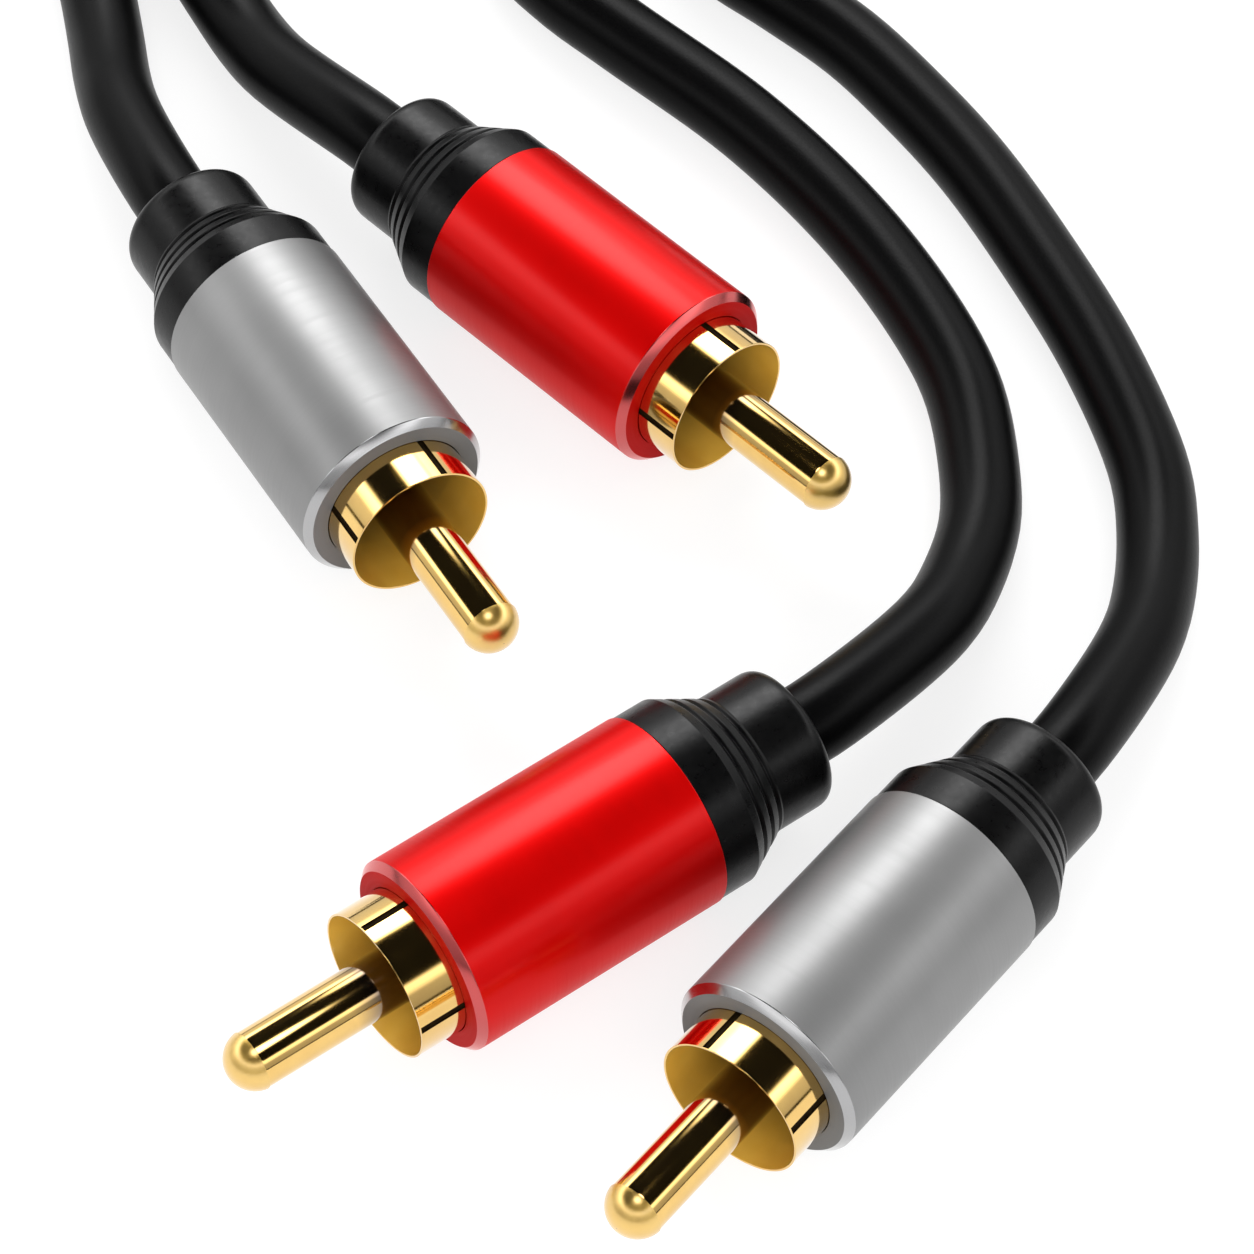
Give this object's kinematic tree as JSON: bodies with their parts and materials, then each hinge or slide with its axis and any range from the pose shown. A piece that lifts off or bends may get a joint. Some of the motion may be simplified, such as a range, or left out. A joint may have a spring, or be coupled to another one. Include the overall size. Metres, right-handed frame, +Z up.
{
  "type": "rca audio cable",
  "caption": "Stereo audio cable: round black leads with red and grey metal plugs, gold pins and slotted gold collars, coiled and tied in the middle.",
  "frame": {"origin": "centre of the bottom of the box round the four plugs, on the surface that they lie on", "axes": "+Z up from that surface, +Y from the plugs towards the coil"},
  "size_m": [0.0875, 0.1854, 0.0115],
  "materials": {
    "pin_gold": "polished gold plating",
    "collar_gold": "polished gold plating",
    "insulator_dark": "moulded",
    "sleeve_red": "satin red anodised",
    "sleeve_grey": "satin anodised",
    "mould_black": "moulded",
    "core_pale": "smooth",
    "drain_tinned": "tinned",
    "boot_black": "satin",
    "cord_black": "satin",
    "tie_black": "woven"
  },
  "bodies": {
    "root": {"grey_left_pin": "pin_gold", "grey_left_insulator": "insulator_dark", "grey_left_collar": "collar_gold", "grey_left_sleeve": "sleeve_grey", "grey_left_inner_mould": "mould_black", "grey_left_core_wire": "core_pale", "grey_left_drain_wire": "drain_tinned", "grey_left_boot": "boot_black", "red_left_pin": "pin_gold", "red_left_insulator": "insulator_dark", "red_left_collar": "collar_gold", "red_left_sleeve": "sleeve_red", "red_left_inner_mould": "mould_black", "red_left_core_wire": "core_pale", "red_left_drain_wire": "drain_tinned", "red_left_boot": "boot_black", "red_right_pin": "pin_gold", "red_right_insulator": "insulator_dark", "red_right_collar": "collar_gold", "red_right_sleeve": "sleeve_red", "red_right_inner_mould": "mould_black", "red_right_core_wire": "core_pale", "red_right_drain_wire": "drain_tinned", "red_right_boot": "boot_black", "grey_right_pin": "pin_gold", "grey_right_insulator": "insulator_dark", "grey_right_collar": "collar_gold", "grey_right_sleeve": "sleeve_grey", "grey_right_inner_mould": "mould_black", "grey_right_core_wire": "core_pale", "grey_right_drain_wire": "drain_tinned", "grey_right_boot": "boot_black", "cord_grey_left": "cord_black", "cord_red_left": "cord_black", "cord_red_right": "cord_black", "cord_grey_right": "cord_black", "cord_coil": "cord_black", "coil_tie": "tie_black"}
  },
  "joints": []
}
